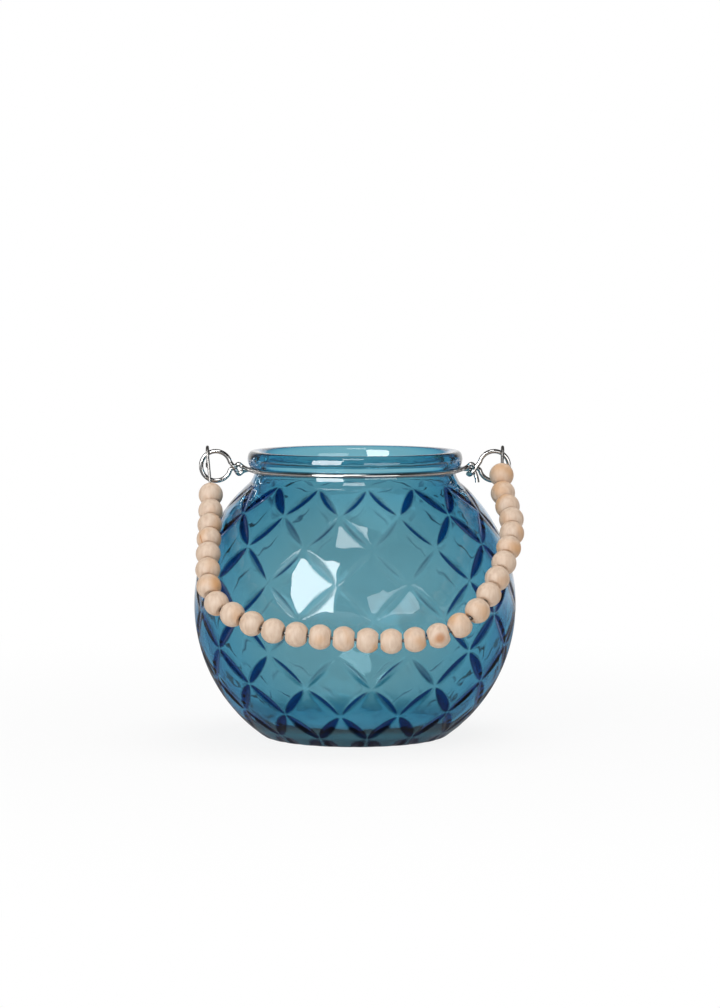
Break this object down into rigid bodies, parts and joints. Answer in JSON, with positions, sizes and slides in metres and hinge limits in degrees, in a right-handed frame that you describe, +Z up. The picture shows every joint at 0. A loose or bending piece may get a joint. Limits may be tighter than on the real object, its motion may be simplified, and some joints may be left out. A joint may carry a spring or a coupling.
{
  "type": "hanging glass jar lantern",
  "caption": "Squat globe jar of blue quilted glass with a wire collar round its neck and a beaded wire bail, for a candle or flowers.",
  "frame": {"origin": "centre of the flat foot the jar stands on", "axes": "+Z up along the jar's axis, -Y towards the side where the bail hangs down, X from eye to eye"},
  "size_m": [0.1297, 0.142, 0.116],
  "materials": {
    "glass": "gloss",
    "collar": "bright",
    "bail": "satin",
    "beads": "bare sanded wood"
  },
  "bodies": {
    "jar": {"glass_jar": "glass", "collar_wire": "collar"},
    "bail": {"bail_wire": "bail"},
    "bead_01": {"bead_01": "beads"},
    "bead_02": {"bead_02": "beads"},
    "bead_03": {"bead_03": "beads"},
    "bead_04": {"bead_04": "beads"},
    "bead_05": {"bead_05": "beads"},
    "bead_06": {"bead_06": "beads"},
    "bead_07": {"bead_07": "beads"},
    "bead_08": {"bead_08": "beads"},
    "bead_09": {"bead_09": "beads"},
    "bead_10": {"bead_10": "beads"},
    "bead_11": {"bead_11": "beads"},
    "bead_12": {"bead_12": "beads"},
    "bead_13": {"bead_13": "beads"},
    "bead_14": {"bead_14": "beads"},
    "bead_15": {"bead_15": "beads"},
    "bead_16": {"bead_16": "beads"},
    "bead_17": {"bead_17": "beads"},
    "bead_18": {"bead_18": "beads"},
    "bead_19": {"bead_19": "beads"},
    "bead_20": {"bead_20": "beads"},
    "bead_21": {"bead_21": "beads"},
    "bead_22": {"bead_22": "beads"},
    "bead_23": {"bead_23": "beads"},
    "bead_24": {"bead_24": "beads"},
    "bead_25": {"bead_25": "beads"},
    "bead_26": {"bead_26": "beads"},
    "bead_27": {"bead_27": "beads"},
    "bead_28": {"bead_28": "beads"},
    "bead_29": {"bead_29": "beads"}
  },
  "joints": [
    {"name": "bail_swing", "type": "hinge", "parent": "jar", "child": "bail", "pos_m": [0, 0, 0.1116], "axis": [-1, 0, 0], "range_deg": [0, 266]},
    {"name": "bead_01_spin", "type": "hinge", "parent": "bail", "child": "bead_01", "pos_m": [-0.05696, -0.00849, 0.09703], "axis": [-0.0473, 0.5877, 0.8077], "continuous": true},
    {"name": "bead_02_spin", "type": "hinge", "parent": "bail", "child": "bead_02", "pos_m": [-0.05681, -0.01518, 0.09109], "axis": [0.0038, 0.8349, 0.5503], "continuous": true},
    {"name": "bead_03_spin", "type": "hinge", "parent": "bail", "child": "bead_03", "pos_m": [-0.05685, -0.02271, 0.08613], "axis": [0.0038, 0.8349, 0.5503], "continuous": true},
    {"name": "bead_04_spin", "type": "hinge", "parent": "bail", "child": "bead_04", "pos_m": [-0.05688, -0.03023, 0.08117], "axis": [0.0038, 0.8349, 0.5503], "continuous": true},
    {"name": "bead_05_spin", "type": "hinge", "parent": "bail", "child": "bead_05", "pos_m": [-0.05687, -0.03764, 0.07604], "axis": [-0.0066, 0.8052, 0.593], "continuous": true},
    {"name": "bead_06_spin", "type": "hinge", "parent": "bail", "child": "bead_06", "pos_m": [-0.05676, -0.04474, 0.0705], "axis": [-0.0158, 0.7765, 0.6299], "continuous": true},
    {"name": "bead_07_spin", "type": "hinge", "parent": "bail", "child": "bead_07", "pos_m": [-0.05606, -0.05156, 0.06468], "axis": [-0.2066, 0.7087, 0.6746], "continuous": true},
    {"name": "bead_08_spin", "type": "hinge", "parent": "bail", "child": "bead_08", "pos_m": [-0.05293, -0.05751, 0.05875], "axis": [-0.533, 0.6351, 0.559], "continuous": true},
    {"name": "bead_09_spin", "type": "hinge", "parent": "bail", "child": "bead_09", "pos_m": [-0.04666, -0.06272, 0.05502], "axis": [-0.785, 0.509, 0.3532], "continuous": true},
    {"name": "bead_10_spin", "type": "hinge", "parent": "bail", "child": "bead_10", "pos_m": [-0.03914, -0.06657, 0.05192], "axis": [-0.8584, 0.3851, 0.3387], "continuous": true},
    {"name": "bead_11_spin", "type": "hinge", "parent": "bail", "child": "bead_11", "pos_m": [-0.03098, -0.06939, 0.04944], "axis": [-0.9538, 0.2255, 0.1985], "continuous": true},
    {"name": "bead_12_spin", "type": "hinge", "parent": "bail", "child": "bead_12", "pos_m": [-0.02216, -0.07076, 0.04823], "axis": [-0.9866, 0.122, 0.1084], "continuous": true},
    {"name": "bead_13_spin", "type": "hinge", "parent": "bail", "child": "bead_13", "pos_m": [-0.01324, -0.07163, 0.04735], "axis": [-0.9938, 0.0707, 0.0864], "continuous": true},
    {"name": "bead_14_spin", "type": "hinge", "parent": "bail", "child": "bead_14", "pos_m": [-0.00426, -0.07204, 0.04667], "axis": [-0.9974, 0.0264, 0.0671], "continuous": true},
    {"name": "bead_15_spin", "type": "hinge", "parent": "bail", "child": "bead_15", "pos_m": [0.00473, -0.07228, 0.04607], "axis": [-0.9974, 0.0264, 0.0671], "continuous": true},
    {"name": "bead_16_spin", "type": "hinge", "parent": "bail", "child": "bead_16", "pos_m": [0.01373, -0.07255, 0.04582], "axis": [-0.9991, 0.0351, -0.0236], "continuous": true},
    {"name": "bead_17_spin", "type": "hinge", "parent": "bail", "child": "bead_17", "pos_m": [0.0227, -0.07291, 0.0465], "axis": [-0.9908, 0.0448, -0.1275], "continuous": true},
    {"name": "bead_18_spin", "type": "hinge", "parent": "bail", "child": "bead_18", "pos_m": [0.03156, -0.07316, 0.04806], "axis": [-0.9589, -0.0239, -0.2826], "continuous": true},
    {"name": "bead_19_spin", "type": "hinge", "parent": "bail", "child": "bead_19", "pos_m": [0.03965, -0.07233, 0.05184], "axis": [-0.8196, -0.1606, -0.55], "continuous": true},
    {"name": "bead_20_spin", "type": "hinge", "parent": "bail", "child": "bead_20", "pos_m": [0.0464, -0.06981, 0.05716], "axis": [-0.6372, -0.4503, -0.6255], "continuous": true},
    {"name": "bead_21_spin", "type": "hinge", "parent": "bail", "child": "bead_21", "pos_m": [0.05085, -0.06446, 0.06281], "axis": [-0.4044, -0.672, -0.6203], "continuous": true},
    {"name": "bead_22_spin", "type": "hinge", "parent": "bail", "child": "bead_22", "pos_m": [0.05433, -0.05828, 0.06836], "axis": [-0.3509, -0.7117, -0.6085], "continuous": true},
    {"name": "bead_23_spin", "type": "hinge", "parent": "bail", "child": "bead_23", "pos_m": [0.05712, -0.05162, 0.07375], "axis": [-0.2671, -0.7655, -0.5854], "continuous": true},
    {"name": "bead_24_spin", "type": "hinge", "parent": "bail", "child": "bead_24", "pos_m": [0.0592, -0.04454, 0.07892], "axis": [-0.2154, -0.794, -0.5685], "continuous": true},
    {"name": "bead_25_spin", "type": "hinge", "parent": "bail", "child": "bead_25", "pos_m": [0.06073, -0.03726, 0.08399], "axis": [-0.0962, -0.8272, -0.5536], "continuous": true},
    {"name": "bead_26_spin", "type": "hinge", "parent": "bail", "child": "bead_26", "pos_m": [0.06089, -0.02968, 0.08885], "axis": [0.0615, -0.8513, -0.5211], "continuous": true},
    {"name": "bead_27_spin", "type": "hinge", "parent": "bail", "child": "bead_27", "pos_m": [0.05966, -0.02199, 0.09335], "axis": [0.1842, -0.8544, -0.4859], "continuous": true},
    {"name": "bead_28_spin", "type": "hinge", "parent": "bail", "child": "bead_28", "pos_m": [0.05816, -0.01447, 0.09806], "axis": [0.1117, -0.7712, -0.6267], "continuous": true},
    {"name": "bead_29_spin", "type": "hinge", "parent": "bail", "child": "bead_29", "pos_m": [0.05784, -0.00852, 0.10476], "axis": [-0.0411, -0.5353, -0.8437], "continuous": true}
  ]
}
